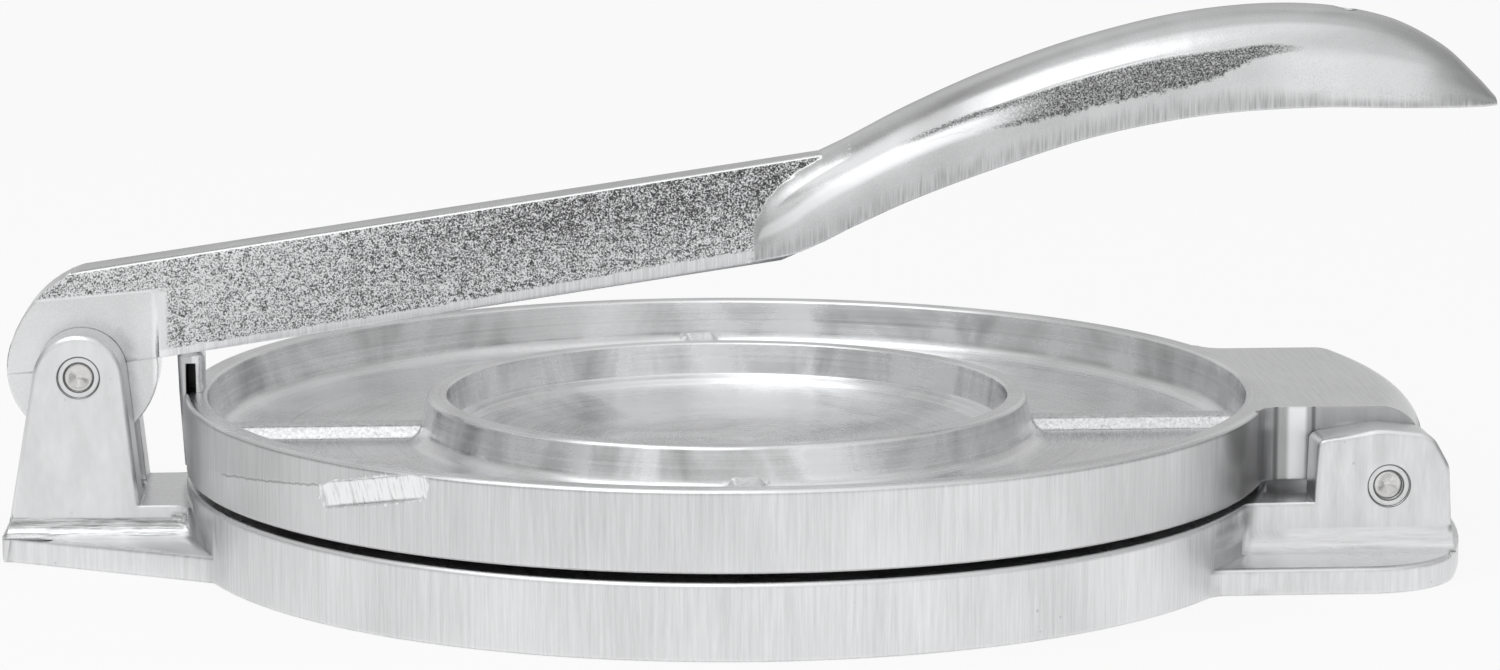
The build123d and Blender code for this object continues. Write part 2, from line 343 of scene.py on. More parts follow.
def loops(name, rows):
    """Skin a list of point loops, all of one length, and cap both ends."""
    bm = bmesh.new()
    rings = [[bm.verts.new([c * MM for c in point]) for point in row] for row in rows]
    count = len(rings[0])
    for ring, following in zip(rings, rings[1:]):
        for i in range(count):
            j = (i + 1) % count
            bm.faces.new((ring[i], ring[j], following[j], following[i]))
    bm.faces.new(reversed(rings[0]))
    bm.faces.new(rings[-1])
    return link(name, bm)


def lathe(name, profile, segments=256):
    """Turn a closed (radius, z) outline about Z; an edge on the axis makes no face."""
    bm = bmesh.new()
    columns = []
    for turn in range(segments):
        angle = 2 * math.pi * turn / segments
        c, s = math.cos(angle), math.sin(angle)
        columns.append([bm.verts.new((r * c * MM, r * s * MM, z * MM)) for r, z in profile])
    count = len(profile)
    for turn in range(segments):
        near, far = columns[turn], columns[(turn + 1) % segments]
        for i in range(count):
            j = (i + 1) % count
            if profile[i][0] == 0 and profile[j][0] == 0:
                continue
            bm.faces.new((near[i], far[i], far[j], near[j]))
    return link(name, bm)


def prism(name, outline, low, high):
    """Extrude an (x, y) outline from one height to another."""
    return loops(name, [[(x, y, z) for x, y in outline] for z in (low, high)])


def side_prism(name, outline, y_low, y_high):
    """Extrude an (x, z) outline along Y."""
    return loops(name, [[(x, y, z) for x, z in outline] for y in (y_low, y_high)])


def combine(target, others, operation):
    """Boolean the other pieces into the target, and remove them."""
    for other in others:
        modifier = target.modifiers.new("cut", "BOOLEAN")
        modifier.operation = operation
        modifier.solver = "EXACT"
        modifier.object = other
        graph = bpy.context.evaluated_depsgraph_get()
        mesh = bpy.data.meshes.new_from_object(target.evaluated_get(graph))
        target.modifiers.clear()
        target.data = mesh
        bpy.data.objects.remove(other)
    return target


def shade(piece, angle=32):
    """Smooth shading that keeps flat faces flat and stays sharp past an angle."""
    mesh = piece.data
    for face in mesh.polygons:
        face.use_smooth = True
    mesh.set_sharp_from_angle(angle=math.radians(angle))
    modifier = piece.modifiers.new("weighted", "WEIGHTED_NORMAL")
    modifier.keep_sharp = True
    graph = bpy.context.evaluated_depsgraph_get()
    piece.data = bpy.data.meshes.new_from_object(piece.evaluated_get(graph))
    piece.modifiers.clear()
    return piece


def frame_mesh(node):
    """A welded copy of a node's own mesh."""
    bm = bmesh.new()
    bm.from_mesh(nodes[node].data)
    bmesh.ops.remove_doubles(bm, verts=bm.verts, dist=2e-6)
    return bm


def stand_for(piece, node, body, material):
    """Let a piece take a node's place, on its body and in its material slot."""
    piece.data.materials.clear()
    piece.data.materials.append(material)
    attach(piece, body)
    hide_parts(node)


# ---------------------------------------------------------------- lever casting
def grip_at(x):
    """Half width, lower edge and crown of the grip at x, by a cubic through the stations."""
    index = max(1, min(len(GRIP) - 1, sum(row[0] < x for row in GRIP)))
    before, after = GRIP[index - 1], GRIP[index]
    first, last = GRIP[max(0, index - 2)], GRIP[min(len(GRIP) - 1, index + 1)]
    gap = after[0] - before[0]
    t = (x - before[0]) / gap
    values = []
    for k in (1, 2, 3):
        slope_a = (after[k] - first[k]) / (after[0] - first[0]) * gap
        slope_b = (last[k] - before[k]) / (last[0] - before[0]) * gap
        values.append(
            (2 * t**3 - 3 * t**2 + 1) * before[k]
            + (t**3 - 2 * t**2 + t) * slope_a
            + (3 * t**2 - 2 * t**3) * after[k]
            + (t**3 - t**2) * slope_b
        )
    return values


def grip_shell():
    """Domed grip with its hollow: every section is one loop, outer arch and inner arch."""
    hollow_start, hollow_end, hollow_ramp = 31.0, 137.0, 7.0
    crowding = 1.15  # sections lie closer together towards the tip
    sections, arch = 110, 32
    rows = []
    for index in range(sections + 1):
        share = index / sections
        x = GRIP_START + (GRIP_END - GRIP_START) * math.sin(share * math.pi / 2) ** crowding
        half, low, crown = grip_at(x)
        into = min(1.0, max(0.0, (x - hollow_start) / hollow_ramp))
        into *= min(1.0, max(0.0, (hollow_end - x) / hollow_ramp))
        into = math.sqrt(into * (2 - into))  # the hollow's ends are rounded
        wall = min(GRIP_SHELL, half * 0.6)  # thinner where the grip is narrow
        rise = max(0.0, crown - wall - low) * into
        row = []
        for step in range(arch + 1):
            turn = math.pi * step / arch
            row.append((x, -half * math.cos(turn), low + (crown - low) * math.sin(turn)))
        for step in range(arch + 1):
            turn = math.pi * (1 - step / arch)
            row.append((x, -(half - wall) * math.cos(turn), low + rise * math.sin(turn)))
        rows.append(row)
    return loops("grip_shell", rows)


def lever_casting():
    """The arm and head of the frame's own lever, joined to the smooth grip."""
    seam = (22.8 * MM, 0, 0)
    bm = frame_mesh("lever")
    everything = bm.verts[:] + bm.edges[:] + bm.faces[:]
    cut = bmesh.ops.bisect_plane(bm, geom=everything, plane_co=seam, plane_no=(1, 0, 0), clear_outer=True)
    rim = [g for g in cut["geom_cut"] if isinstance(g, bmesh.types.BMEdge)]
    bmesh.ops.holes_fill(bm, edges=rim, sides=0)
    arm = link("lever_casting", bm)
    combine(arm, [grip_shell()], "UNION")
    combine(arm, [prism("hang_hole", circle(HANG_HOLE_X, 0, HANG_HOLE_RADIUS), 90, 110)], "DIFFERENCE")
    return shade(arm)


# ---------------------------------------------------------------- base casting
def base_casting():
    """The frame's own base, its coves cut flush with the clevis cheeks."""
    base = link("base_casting", frame_mesh("base"))
    cheek_low, cheek_lean = -134.9, 0.179  # the cheek's sloped edge: x at the ground, and x over z
    inner, outer = 15.1, 20  # just inside the cheek's face, and past the cove
    low, high = 4.93, 9.5
    edge = [(cheek_low + cheek_lean * z, z) for z in (low, high)]
    beyond = [(-140, low), *edge, (-140, high)]
    cutters = [
        side_prism("cove_end_front", beyond, -outer, -inner),
        side_prism("cove_end_back", beyond, inner, outer),
    ]
    combine(base, cutters, "DIFFERENCE")
    # nearly coplanar facets become one face, so that they shade evenly
    bm = bmesh.new()
    bm.from_mesh(base.data)
    bmesh.ops.dissolve_limit(bm, angle_limit=math.radians(0.4), verts=bm.verts, edges=bm.edges)
    bm.to_mesh(base.data)
    bm.free()
    return shade(base)


# ---------------------------------------------------------------- plate casting
def plate_dish():
    """The turned dish: rim, floor, raised ring with its inner step, and sunk middle."""
    profile = (
        # radius, z, rounding
        (0, PLATE_UNDER, 0),
        (DISC_RADIUS, PLATE_UNDER, 0.6),
        (DISC_RADIUS, RIM_TOP, 0.9),
        (97.6, RIM_TOP, 0.7),
        (95.8, DISH_FLOOR, 3.5),
        (58.1, DISH_FLOOR, 3.5),
        (56.4, 28, 0.9),
        (52.9, 28, 0.5),
        (52.2, 21.7, 0.8),
        (50.0, 21.3, 0.7),
        (49.2, 20.2, 0.6),
        (38.0, 18.6, 12),
        (0, 18.6, 0),
    )
    return lathe("plate_casting", rounded(profile))


def plate_ribs():
    """Four ribs from the ring to the rim, with their fillets sunk a little into the floor."""
    ring, rim = 54.5, 97.2
    foot, sunk = 5.9, 0.03
    half = [
        (0, RIB_TOP, 0),
        (2.4, RIB_TOP, 0.8),
        (4.4, DISH_FLOOR, 1.4),
        (6.2, DISH_FLOOR, 0),
        (6.2, DISH_FLOOR - 2, 0),
    ]
    outline = rounded(half + [(-y, z, r) for y, z, r in reversed(half[1:])], 4)
    outline = [(y, z - (sunk if abs(y) > foot else 0)) for y, z in outline]
    ribs = []
    for quarter, (c, s) in enumerate(((1, 0), (0, 1), (-1, 0), (0, -1))):
        rows = [[(r * c - y * s, r * s + y * c, z) for y, z in outline] for r in (ring, rim)]
        ribs.append(loops(f"rib_{quarter}", rows))
    return ribs


def plate_tongue():
    """Hinge tongue flush with the rim, rounded over at its end, on the hinge barrel."""
    half, end, low = 31.7, 130.2, 15.8
    blend, blend_steps = 5.0, 8
    end_rounding, end_steps = 7.9, 24
    barrel_radius = 8.0
    bay_radius = 99.9  # the dish side is cut off inside the rim
    centre_y = half + blend
    centre_x = math.sqrt((DISC_RADIUS + blend) ** 2 - centre_y**2)
    reach = math.sqrt(end**2 - half**2)
    first = math.atan2(-centre_y, -centre_x)
    plan = []
    for step in range(blend_steps + 1):
        angle = first + (-math.pi / 2 - first) * step / blend_steps
        plan.append((centre_x + blend * math.cos(angle), centre_y + blend * math.sin(angle)))
    corner = plan[: blend_steps + 1]
    side = math.asin(half / end)
    arc = [side - 2 * side * i / end_steps for i in range(1, end_steps)]
    plan += [(reach, half)] + [(end * math.cos(a), end * math.sin(a)) for a in arc] + [(reach, -half)]
    plan += [(x, -y) for x, y in reversed(corner)]
    root_x, root_y = 88.0, 40.0  # inside the bay, which cuts it away
    plan += [(root_x, -root_y), (root_x, root_y)]
    tongue = prism("tongue", plan, low, RIM_TOP)
    under = low - 1
    profile = rounded([(0, under, 0), (end, under, 0), (end, RIM_TOP, end_rounding), (0, RIM_TOP, 0)], 10)
    combine(tongue, [lathe("tongue_end", profile, 360)], "INTERSECT")
    combine(tongue, [prism("tongue_bay", circle(0, 0, bay_radius, 256), 0, 40)], "DIFFERENCE")
    barrel = side_prism("barrel", circle(*HINGE_PIN, barrel_radius, 64), -half, half)
    return [tongue, barrel]


def plate_tab():
    """Tab under the lever, running down the rim as a drafted pilaster, with its blind slot."""
    stations = (
        # z, outer face, inner face, half width, rounding
        (15.4, -101.9, -98.0, 3.3, 0.9),
        (RIM_TOP, -102.7, -98.0, 3.8, 1.0),
        (36.3, -102.9, -98.0, 3.9, 1.0),
        (37.02, -102.2, -98.7, 3.3, 0.9),
    )
    rows = []
    for z, outer, inner, half, soft in stations:
        corners = ((outer, -half), (inner, -half), (inner, half), (outer, half))
        rows.append([(x, y, z) for x, y in rounded([(x, y, soft) for x, y in corners], 4)])
    slot_outline = [(-101.3, -4.4), (-99.6, -4.4), (-99.6, 1.1), (-101.3, 1.1)]
    slot = prism("tab_slot", slot_outline, 27.6, 34.8)
    return combine(loops("tab", rows), [slot], "DIFFERENCE")


def plate_casting():
    """Dish, ribs, tongue, barrel and tab in one piece, with the ground gate and the hinge bore cut."""
    plate = plate_dish()
    combine(plate, plate_ribs() + plate_tongue() + [plate_tab()], "UNION")
    facet, clear, half = 100.9, 111, 30
    rows = []
    for level in (GATE_Z - GATE_HALF, GATE_Z + GATE_HALF):
        corners = ((facet, -half), (clear, -half), (clear, half), (facet, half))
        rows.append([(*turned(x, y, GATE_TURN), level + y * GATE_SLOPE) for x, y in corners])
    bore = side_prism("bore", circle(*HINGE_PIN, PIN_RADIUS + 0.06), -33, 33)
    combine(plate, [loops("gate", rows), bore], "DIFFERENCE")
    return shade(plate)


# ---------------------------------------------------------------- pins
def pin_piece(name, half, x, z):
    """Peened pin: a rounded lip round a smooth conical dimple in each end."""
    end = [
        # radius, depth below the end, rounding
        (0, 0.95, 0),
        (0.5, 0.85, 0.5),
        (1.75, 0.15, 0.3),
        (2.15, 0, 0.25),
        (PIN_RADIUS, 0, 0.35),
    ]
    profile = [(r, half - depth, q) for r, depth, q in end]
    profile += [(r, depth - half, q) for r, depth, q in reversed(end)]
    pin = lathe(name, rounded(profile, 4), 64)
    for vertex in pin.data.vertices:
        vx, vy, vz = vertex.co
        vertex.co = (vx + x * MM, vz, -vy + z * MM)
    return shade(pin, 40)


# ---------------------------------------------------------------- materials
def base_metal():
    m = Metal("cast_aluminium_base", 0.8)
    radius, turn = m.radius_and_turn()
    upright = m.step(m.abs(m.nz), 0.6, 0.3)
    under = m.step(m.nz, -0.3, -0.7)
    right = m.step(m.x, -10, 10)
    wall = m.mul(m.step(radius, DISC_RADIUS - 1.0, DISC_RADIUS - 0.2), upright)
    streak = m.streaks(m.mul(turn, 1.5), m.mul(m.z, 0.06), 0.0)
    broad = m.streaks(m.mul(turn, 0.042), m.mul(m.z, 0.014), 3.0, 0.55, 2.0)
    grain = m.noise(m.place, 2200, 2.0, 0.6)
    cloud = m.noise(m.place, 42, 3.0, 0.55, 0.8)
    ripple = m.noise(m.place, 160, 2.0, 0.5, 0.4)
    pits = m.step(m.cells(m.place, 380), 0.0, 0.14, 1.0, 0.0)
    pits = m.mul(pits, m.step(m.noise(m.place, 70, 2.0), 0.54, 0.68))
    # belt-brushed wall, plainer flats, casting pits, dull underside
    plain = m.add(m.swing(cloud, 0.91, 0.12), m.swing(grain, 0.0, 0.12))
    tone = m.mix(wall, plain, m.add(m.swing(streak, 0.81, 0.5), m.swing(broad, 0.0, 0.34)))
    tone = m.sub(tone, m.mul(pits, 0.22))
    tone = m.sub(tone, m.mul(under, m.add(0.25, m.mul(grain, 0.2))))
    # rough coves under the clevis cheeks and the hinge ears, dark and flecked at the clevis
    cove = m.mul(m.near(m.z, 6.9, 1.6, 2.6), m.step(m.abs(m.x), 98.5, 100.5))
    cove = m.mul(cove, m.near(m.abs(m.nz), 0.5, 0.35, 0.48))
    fleck = m.streaks(m.mul(m.x, 0.13), m.mul(m.y, 1.5), m.mul(m.z, 2.6), 0.8)
    fleck = m.swing(fleck, m.mix(right, 0.60, 0.95), m.mix(right, 2.4, 0.6))
    tone = m.mix(cove, tone, m.step(fleck, 0.0, 1.0, 0.12, 0.97, smooth=False))
    # painted highlight with wear on the edges here and there, and all along the upper edge of the disc
    disc_edge_highlight = m.mul(m.near(m.z, BASE_TOP + 0.5, 1.2, 2.0), m.step(radius, 98, 99))
    edge_wear_and_highlight = m.mul(m.edge_wear_and_highlight(1.1), m.step(ripple, 0.36, 0.56, m.mix(disc_edge_highlight, 0.35, 0.9), 1.0))
    tone = m.mix(edge_wear_and_highlight, tone, RUBBED_AND_HIGHLIGHT)
    # painted shade in the base's own corners and gaps
    tone = m.mul(tone, m.crevice_shade())
    # painted shade on the wall's sides, next to the hinge and the clevis, and a painted dark reflection near
    # the hinge
    side_shade = m.mul(m.step(m.abs(m.x), 70, 100), m.step(radius, DISC_RADIUS + 1.4, DISC_RADIUS + 0.4))
    dark_reflection = m.mul(m.near(m.x, 88.5, 1, 7), wall, m.step(ripple, 0.36, 0.60))
    tone = m.dim(tone, m.add(m.mul(side_shade, 0.14), m.mul(dark_reflection, 0.34)))
    # painted shade: dark lines round the pins' ends, at the counterbore's edge and next to the pin
    for pin in (LEVER_PIN, HINGE_PIN):
        ring = m.around(*pin)
        groove_shade = m.max(m.near(ring, 3.85, 0.08, 0.22), m.near(ring, 2.75, 0.08, 0.2))
        tone = m.mix(m.mul(groove_shade, m.step(m.abs(m.ny), 0.3, 0.6)), tone, 0.16)
    rough = m.mix(wall, m.swing(cloud, 0.27, 0.2), m.swing(streak, 0.38, 0.3))
    rough = m.add(rough, m.mul(under, 0.22))
    height = m.add(m.mul(grain, m.mix(wall, 0.2, 0.1)), m.mul(wall, streak, 1.2))
    height = m.add(height, m.mul(cloud, 3.0), m.mul(ripple, 0.6))
    height = m.sub(height, m.mul(pits, 1.6))
    m.brushed(m.mul(m.y, -1.0), m.x, 0.55)
    return m.finish(m.min(tone, BRIGHTEST), rough, height, 0.07, 0.55)


def plate_metal():
    m = Metal("cast_aluminium_plate", 0.6)
    radius, turn = m.radius_and_turn()
    upright = m.step(m.abs(m.nz), 0.6, 0.3)
    wall = m.mul(m.step(radius, DISC_RADIUS - 1.6, DISC_RADIUS - 1.0), upright)
    tongue = m.mul(m.step(m.x, 98, 101), m.step(m.nz, 0.3, 0.6))
    streak = m.streaks(m.mul(turn, 1.5), m.mul(m.z, 0.06), 7.0)
    broad = m.streaks(m.mul(turn, 0.036), m.mul(m.z, 0.012), 9.0, 0.55, 2.0)
    rings = m.streaks(m.mul(radius, 2.0), m.mul(turn, 0.004), m.mul(m.z, 1.5))
    blotch = m.streaks(m.mul(turn, 0.04), m.mul(radius, 0.06), m.mul(m.z, 0.03), 0.6, 3.0, 0.6)
    across = m.streaks(m.mul(m.x, 1.7), m.mul(m.y, 0.06), 5.0, 0.65)
    grain = m.noise(m.place, 2200, 2.0, 0.6)
    cloud = m.noise(m.place, 34, 3.0, 0.55, 0.9)
    # turned dish with stains, cross-brushed tongue, belt-brushed wall
    stained = m.swing(cloud, 0.88, m.step(radius, 56, 50, 0.4, 1.0))
    stained = m.mix(upright, stained, m.swing(blotch, 0.88, 1.3))
    lathed = m.add(stained, m.swing(rings, 0.0, 0.36), m.swing(grain, 0.0, 0.15))
    lathed = m.mix(tongue, lathed, m.add(m.swing(across, 0.93, 0.4), m.swing(cloud, 0.0, 0.15)))
    tone = m.mix(wall, lathed, m.add(m.swing(streak, 0.81, 0.5), m.swing(broad, 0.0, 0.5)))
    rough = m.mix(upright, m.swing(cloud, 0.28, 0.2), m.swing(blotch, 0.24, 0.6))
    rough = m.add(rough, m.swing(rings, 0.0, 0.3))
    rough = m.mix(tongue, rough, m.swing(across, 0.34, 0.3))
    rough = m.mix(wall, rough, m.swing(streak, 0.38, 0.3))
    # ground gate: a bright, coarse flat with a ragged outline
    along = m.mul(m.sub(m.math("ARCTAN2", m.y, m.x), GATE_TURN), DISC_RADIUS)
    ragged = m.sub(m.streaks(m.mul(turn, 0.7), m.mul(m.z, 0.3), 2.0), 0.5)
    offset = m.sub(m.z, m.add(GATE_Z, m.mul(along, GATE_SLOPE)))
    gate = m.near(m.add(offset, m.mul(ragged, 4)), 0.0, GATE_HALF, GATE_HALF + 0.2)
    gate = m.mul(gate, m.near(m.add(along, m.mul(ragged, 8)), 0.0, 11.8, 12.2))
    gate = m.mul(gate, m.step(radius, DISC_RADIUS - 1.3, DISC_RADIUS - 0.9), upright)
    scratch = m.streaks(m.mul(m.add(turn, m.mul(m.z, 0.3)), 1.1), m.mul(m.z, 0.12), 1.0, 0.75)
    # the fainter grinding that leads to it, with painted shade on it and a painted shade line along its
    # lower limit
    scored = m.sub(m.add(m.z, m.mul(ragged, 1.2)), m.add(25.9, m.mul(along, 0.104)))
    facet_edge_shade = m.mul(m.near(scored, 0.0, 0.06, 0.3), m.step(along, -48, -44), m.step(along, -8, -12), wall)
    ground = m.mul(m.step(scored, 0.0, 0.6), m.step(along, -60, -40), m.step(along, 10, 0), wall)
    tone = m.dim(tone, m.add(m.mul(facet_edge_shade, 0.4), m.mul(ground, 0.12)))
    tone = m.mix(gate, tone, m.swing(scratch, 1.08, 2.4))
    rough = m.mix(gate, rough, m.swing(scratch, 0.30, 0.3))
    # painted highlight with wear on the edges
    tone = m.mix(m.mul(m.edge_wear_and_highlight(0.8), m.step(blotch, 0.36, 0.56, 0.4, 1.0)), tone, 0.95)
    # painted shade: the blind slot in the tab is black inside
    slot = m.mul(m.near(m.x, -100.45, 0.9, 1.0), m.near(m.z, 31.2, 3.6, 3.7), m.near(m.y, 0.0, 3.8, 4.0))
    tone = m.mix(slot, tone, 0.0)
    # cast ribs keep a speckled skin
    on_rib = m.step(m.min(m.abs(m.x), m.abs(m.y)), 4.6, 4.0)
    on_rib = m.mul(on_rib, m.near(m.z, RIB_TOP - 0.8, 1.2, 1.5))
    on_rib = m.mul(on_rib, m.step(radius, 57.5, 58.0), m.step(radius, 96.5, 96.0))
    skin = m.swing(m.noise(m.place, 1500, 3.0, 0.8), 0.82, 1.8)
    tone = m.mix(on_rib, tone, m.step(skin, 0.0, 1.0, 0.25, 0.95, smooth=False))
    rough = m.mix(on_rib, rough, 0.42)
    # painted shade in the plate's own corners and gaps
    tone = m.mul(tone, m.crevice_shade())
    # painted shade on the wall's sides, next to the hinge and the tab, and a painted dark reflection near
    # the hinge
    side_shade = m.mul(wall, m.step(m.abs(m.x), 40, 95), m.step(m.x, -10, 10, 0.22, 0.36))
    dark_reflection = m.mul(m.near(m.x, 88.5, 1, 7), wall, m.step(blotch, 0.36, 0.60))
    tone = m.dim(tone, m.add(side_shade, m.mul(dark_reflection, 0.34)))
    # the tongue's sides: a painted highlight band between painted dark lines at its corners
    flank = m.mul(m.step(m.abs(m.ny), 0.80, 0.90), m.step(m.x, 97.0, 97.5))
    tone = m.mix(m.mul(flank, m.near(m.x, 103, 1.2, 2.2)), tone, BRIGHTEST)
    corner = m.max(m.near(m.x, 99, 0.1, 0.8), m.near(m.x, 106, 0.1, 0.6))
    tone = m.mix(m.mul(flank, corner, 0.75), tone, 0.12)
    height = m.add(m.mul(m.sub(1.0, wall), rings, 0.7), m.mul(wall, streak, 1.2), m.mul(gate, scratch, 3.0))
    height = m.add(height, m.mul(grain, 0.1), m.mul(cloud, 6.0), m.mul(upright, blotch, 3.0))
    # grooves run round the turned faces, up the outer wall and, strongest, across the tongue
    along_x = m.mix(tongue, m.mix(wall, m.x, m.mul(m.y, -1.0)), 1000.0)
    along_y = m.mix(tongue, m.mix(wall, m.y, m.x), 0.0)
    m.brushed(along_x, along_y, 0.7)
    # the tone's lowest values, nearly black in the slot's painted shade
    tone = m.max(m.min(tone, BRIGHTEST), m.mix(slot, 0.2, 0.03))
    return m.finish(tone, rough, height, 0.06, 0.5)


def lever_metal():
    m = Metal("cast_aluminium_lever", 0.7)
    slope = (ARM_END[1] - ARM_START[1]) / (ARM_END[0] - ARM_START[0])
    above = m.sub(m.z, m.add(m.mul(m.sub(m.x, ARM_START[0]), slope), ARM_START[1]))
    side = m.step(m.abs(m.ny), 0.8, 0.93)
    on_arm = m.mul(m.step(m.abs(m.y), 7.3, 7.0), m.step(m.x, 24, 20))
    off_arm = m.sub(1.0, on_arm)
    fine = m.noise(m.place, 3000, 3.0, 0.85)
    cloud = m.noise(m.place, 40, 3.0, 0.55, 0.7)
    coarse = m.streaks(m.mul(m.x, 0.7), m.mul(m.y, 0.9), m.mul(m.z, 1.1), 0.75)
    flakes = m.add(m.mul(fine, 0.78), m.mul(coarse, 0.22))
    # the flat that turns in the clevis and its shoulder, with a painted highlight on its inner corner and
    # along the shoulder's edge
    over = m.sub(above, m.sub(5.5, m.mul(m.x, 0.067)))
    flat = m.mul(m.step(m.x, -105.4, -106.2), m.step(over, 0.2, -0.2))
    corner = m.mul(m.near(m.x, -105.8, 0.9, 1.8), m.step(over, 0.2, -0.8))
    beside = m.mul(m.near(m.x, -102.5, 1.2, 2.8), m.step(above, 1, 3))
    lip_highlight = m.mul(m.near(over, 0.0, 0.1, 0.4), m.step(m.x, -105, -107))
    # as-cast skin on the arm's sides above a ground lip: dark and bright flakes, lighter towards the head
    arm = m.mul(on_arm, side, m.sub(1.0, flat))
    wave = m.streaks(m.mul(m.x, 0.23), 0.0, 0.0, 0.6)
    lip = m.add(m.mul(wave, 1.4), m.step(m.x, -70, 0, 0.6, 1.8))
    skin = m.mul(arm, m.step(m.sub(above, lip), 0.0, 0.4))
    level = m.step(m.x, -110, -50, 0.88, 0.62)
    level = m.sub(level, m.mul(m.step(above, 3, 15), m.step(m.x, -90, -30, 0.0, 0.46)))
    level = m.swing(cloud, m.sub(level, m.mul(beside, 0.22)), 0.5)
    flaked = m.step(m.swing(flakes, level, 15.0), 0.0, 1.0, 0.08, 0.97, smooth=False)
    # rise runs from 0 at the grip's lower edge to 1 on its crown
    tallest = 110.0
    edge = m.curve(m.x, [(x, low) for x, _, low, _ in GRIP], tallest)
    top = m.curve(m.x, [(x, crown) for x, _, _, crown in GRIP], tallest)
    rise = m.math("DIVIDE", m.sub(m.z, edge), m.sub(top, edge))
    # sandy band along the grip's flank, ragged below, under a painted shade line
    reach = [(30, 0.0), (38, 0.05), (50, 0.14), (70, 0.18), (88, 0.16), (98, 0.08), (108, 0.0)]
    reach = m.curve(m.x, reach)
    middle = [(30, 0.68), (40, 0.60), (54, 0.47), (74, 0.43), (90, 0.45), (100, 0.55), (108, 0.58)]
    away = m.abs(m.sub(rise, m.curve(m.x, middle)))
    patchy = m.mul(m.noise(m.place, 700, 3.0, 0.8), m.step(rise, 0.60, 0.50, 0.0, 0.16))
    sandy = m.step(m.sub(m.add(away, patchy), m.add(reach, 0.02)), 0.02, -0.02)
    sandy = m.mul(off_arm, sandy, m.step(reach, 0.0, 0.05))
    crease_shade = m.mul(m.near(rise, 0.655, 0.004, 0.016), m.step(m.x, 30, 40), m.step(m.x, 85, 70), off_arm)
    # painted highlights: a ridge low on the grip's start, and a spot before its tip
    seam = m.curve(m.x, [(4, 0.40), (10, 0.43), (16, 0.52), (24, 0.55), (38, 0.55), (48, 0.52), (60, 0.50)])
    ridge = m.mul(m.near(m.sub(rise, seam), 0.0, 0.04, 0.12), m.step(m.x, 62, 44))
    spot = m.mul(m.near(m.x, 110, 3, 14), m.near(rise, 0.35, 0.12, 0.30))
    spot = m.max(spot, m.mul(m.near(m.x, 120, 8, 14), m.near(rise, 0.32, 0.18, 0.3), 0.8))
    spot = m.mul(spot, m.step(m.add(m.mul(fine, 0.6), m.mul(cloud, 0.4)), 0.40, 0.52, 0.45, 1.0))
    gleam = m.mul(off_arm, m.max(ridge, spot))
    # painted shade: the crown's start, a line under the crown's top, the shoulder and the tip
    start = [(4, 0.30), (20, 0.36), (30, 0.38), (38, 0.50), (46, 0.30), (56, 0.10), (70, 0.0)]
    grip_shade = m.add(
        m.mul(m.curve(m.x, start), m.step(rise, 0.62, 0.70), m.step(rise, 0.96, 0.84)),
        m.mul(m.near(rise, 0.885, 0.03, 0.08), m.step(m.x, 36, 46, 0.0, 0.24)),
        m.mul(m.step(rise, 0.62, 0.82), m.step(m.x, 106, 122, 0.0, 0.20)),
        m.mul(m.step(rise, 0.30, 0.52), m.step(m.x, 127, 136, 0.0, 0.26)),
    )
    grip_shade = m.mul(m.min(grip_shade, m.step(m.x, 50, 100, 0.50, 0.26)), off_arm)
    # linished lower edges of the grip and the arm
    brush = m.streaks(m.mul(m.x, 2.2), m.mul(m.y, 0.3), m.mul(m.z, 0.09), 0.75)
    tall = m.streaks(m.mul(m.x, 0.42), 0.0, 4.0, 0.65)
    linished = m.mul(off_arm, m.step(m.sub(rise, m.mul(tall, 0.34)), 0.10, -0.10))
    linished = m.max(linished, m.mul(arm, m.sub(1.0, skin)))
    polished = m.add(m.swing(cloud, 0.76, 0.36), m.swing(fine, 0.0, 0.26))
    tone = m.mix(linished, polished, m.swing(brush, m.mix(on_arm, 0.60, 0.86), 0.9))
    tone = m.dim(tone, grip_shade)
    tone = m.mix(sandy, tone, m.step(m.swing(fine, 0.27, 3.8), 0.0, 1.0, 0.06, 0.92, smooth=False))
    tone = m.mix(gleam, tone, BRIGHTEST)
    tone = m.mix(m.mul(crease_shade, 0.6), tone, 0.25)
    tone = m.mix(skin, tone, flaked)
    # painted shade inside the hole to hang the press by, by the square of the distance from its axis
    hole = m.squares(m.sub(m.x, HANG_HOLE_X), m.y)
    tone = m.mix(m.step(hole, 6.6, 5.9), tone, 0.0)
    # painted highlights along the shoulder's edge and on the flat's inner corner
    tone = m.mix(m.mul(on_arm, lip_highlight, 0.7), tone, RUBBED_AND_HIGHLIGHT)
    tone = m.mix(m.mul(on_arm, corner), tone, BRIGHTEST)
    # painted highlight with wear on the edges, and painted shade in the lever's own corners and gaps
    edge_wear_and_highlight = m.mul(m.edge_wear_and_highlight(0.8), m.step(cloud, 0.36, 0.56, 0.4, 1.0))
    tone = m.mul(m.mix(edge_wear_and_highlight, tone, RUBBED_AND_HIGHLIGHT), m.crevice_shade(2.0))
    tone = m.max(m.min(tone, BRIGHTEST), 0.04)
    rough = m.add(m.swing(cloud, 0.26, 0.2), m.swing(fine, 0.0, 0.1))
    rough = m.mix(linished, rough, m.swing(brush, 0.36, 0.3))
    rough = m.mix(gleam, m.mix(sandy, rough, 0.5), 0.42)
    rough = m.mix(skin, rough, 0.5)
    height = m.add(m.mul(fine, 0.2), m.mul(cloud, 7.0), m.mul(linished, brush, 1.4), m.mul(sandy, fine, 1.6))
    height = m.add(height, m.mul(skin, m.add(m.mul(flakes, 3.6), -1.6)))
    return m.finish(tone, rough, height, 0.06, 0.6)


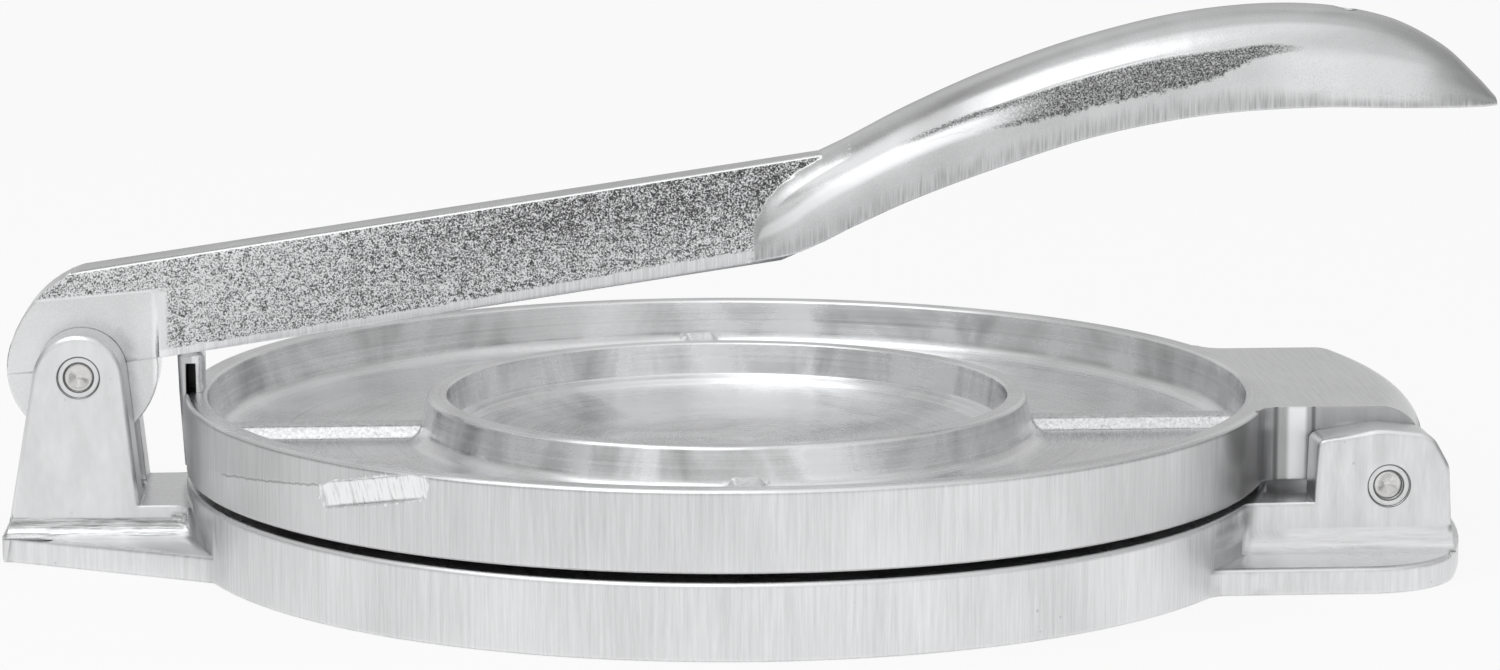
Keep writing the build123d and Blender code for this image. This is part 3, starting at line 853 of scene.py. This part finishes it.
def pin_metal():
    m = Metal("pin_steel", 0.2)
    grain = m.noise(m.place, 3000, 2.0, 0.6)
    smear = m.noise(m.place, 500, 3.0, 0.6)
    tone = m.add(0.56, m.mul(grain, 0.12), m.mul(smear, 0.2))
    rough = m.add(0.14, m.mul(smear, 0.22))
    return m.finish(tone, rough, m.add(grain, smear), 0.02, 0.4, (1.0, 0.992, 0.98))


stand_for(base_casting(), "base", "press_base", base_metal())
stand_for(plate_casting(), "upper_plate", "press_plate", plate_metal())
stand_for(lever_casting(), "lever", "press_lever", lever_metal())
steel = pin_metal()
for node, half, axis in (("lever_pin", 15.0, LEVER_PIN), ("hinge_pin", 40.6, HINGE_PIN)):
    stand_for(pin_piece(f"{node}_peened", half, *axis), node, "press_base", steel)


# ---------------------------------------------------------------- stage, light and camera
def pale_floor():
    """Pale floor that keeps the press's shadow and is nearly white to the camera and in the metal."""
    material = bpy.data.materials.new("pale_floor")
    material.use_nodes = True
    t = Nodes(material.node_tree)
    output = t.new("ShaderNodeOutputMaterial")
    diffuse = t.new("ShaderNodeBsdfDiffuse")
    diffuse.inputs["Color"].default_value = (0.86, 0.86, 0.86, 1)
    white = t.new("ShaderNodeEmission")
    rays = t.new("ShaderNodeLightPath").outputs
    seen = t.max(t.max(rays["Is Camera Ray"], rays["Is Glossy Ray"]), rays["Is Transmission Ray"])
    t.blend(output, t.mul(seen, 0.88), diffuse, white)
    return material


def floor():
    half = 6.0
    corners = [(-half, -half, 0), (half, -half, 0), (half, half, 0), (-half, half, 0)]
    mesh = bpy.data.meshes.new("floor")
    mesh.from_pydata(corners, [], [(0, 1, 2, 3)])
    mesh.materials.append(pale_floor())
    piece = bpy.data.objects.new("floor", mesh)
    bpy.context.scene.collection.objects.link(piece)
    piece.location.z = -0.2 * MM


def studio_world():
    """Soft studio: bright overhead, greyer behind than in front, dim at the sides, white to the camera."""
    world = bpy.data.worlds.new("studio")
    bpy.context.scene.world = world
    world.use_nodes = True
    t = Nodes(world.node_tree)
    output = t.new("ShaderNodeOutputWorld")
    direction = t.new("ShaderNodeTexCoord").outputs["Generated"]
    x, y, z = t.xyz(direction)
    behind = t.step(y, -0.2, 0.3)
    beside = t.mul(t.step(t.abs(x), 0.5, 0.92), t.step(z, 0.75, 0.35))
    level = t.mix(behind, t.step(z, 0.12, 0.5, 0.86, 0.92), t.step(z, 0.06, 0.6, 0.56, 0.60))
    level = t.mix(beside, level, 0.34)
    level = t.mul(level, t.step(t.noise(direction, 2.2, 1.0, 0.5), 0.3, 0.7, 0.8, 1.2))
    level = t.mix(t.step(z, 0.84, 0.97), level, 1.15)
    soft = t.new("ShaderNodeBackground")
    t.put(soft.inputs["Strength"], level)
    white = t.new("ShaderNodeBackground")
    white.inputs["Color"].default_value = (1, 1, 1, 1)
    rays = t.new("ShaderNodeLightPath").outputs
    mirrored = t.max(rays["Is Glossy Ray"], rays["Is Transmission Ray"])
    t.blend(output, t.max(rays["Is Camera Ray"], t.mul(mirrored, 0.16)), soft, white)


def softbox():
    """One large soft key from above, from the left and a little from the front."""
    place, target = Vector((-0.3, -0.25, 0.9)), Vector((0, 0, 0.03))
    light = bpy.data.lights.new("key", "AREA")
    light.shape = "RECTANGLE"
    light.size, light.size_y = 0.8, 0.5
    light.energy = 1.3
    lamp = bpy.data.objects.new("key", light)
    bpy.context.scene.collection.objects.link(lamp)
    lamp.location = place
    lamp.rotation_euler = (target - place).to_track_quat("-Z", "Y").to_euler()


def camera():
    """The photograph's own camera, solved from the rim circles and the feet."""
    data = bpy.data.cameras.new("camera")
    data.sensor_fit = "HORIZONTAL"
    data.sensor_width = 36.0
    data.lens = 108.6
    data.clip_start = 0.01
    piece = bpy.data.objects.new("camera", data)
    piece.location = (-0.04937, -0.84, 0.18112)
    piece.rotation_euler = (math.radians(80.38), 0.0, math.radians(-3.66))
    bpy.context.scene.collection.objects.link(piece)
    bpy.context.scene.camera = piece


floor()
studio_world()
softbox()
camera()
bpy.context.scene.view_settings.view_transform = "Standard"
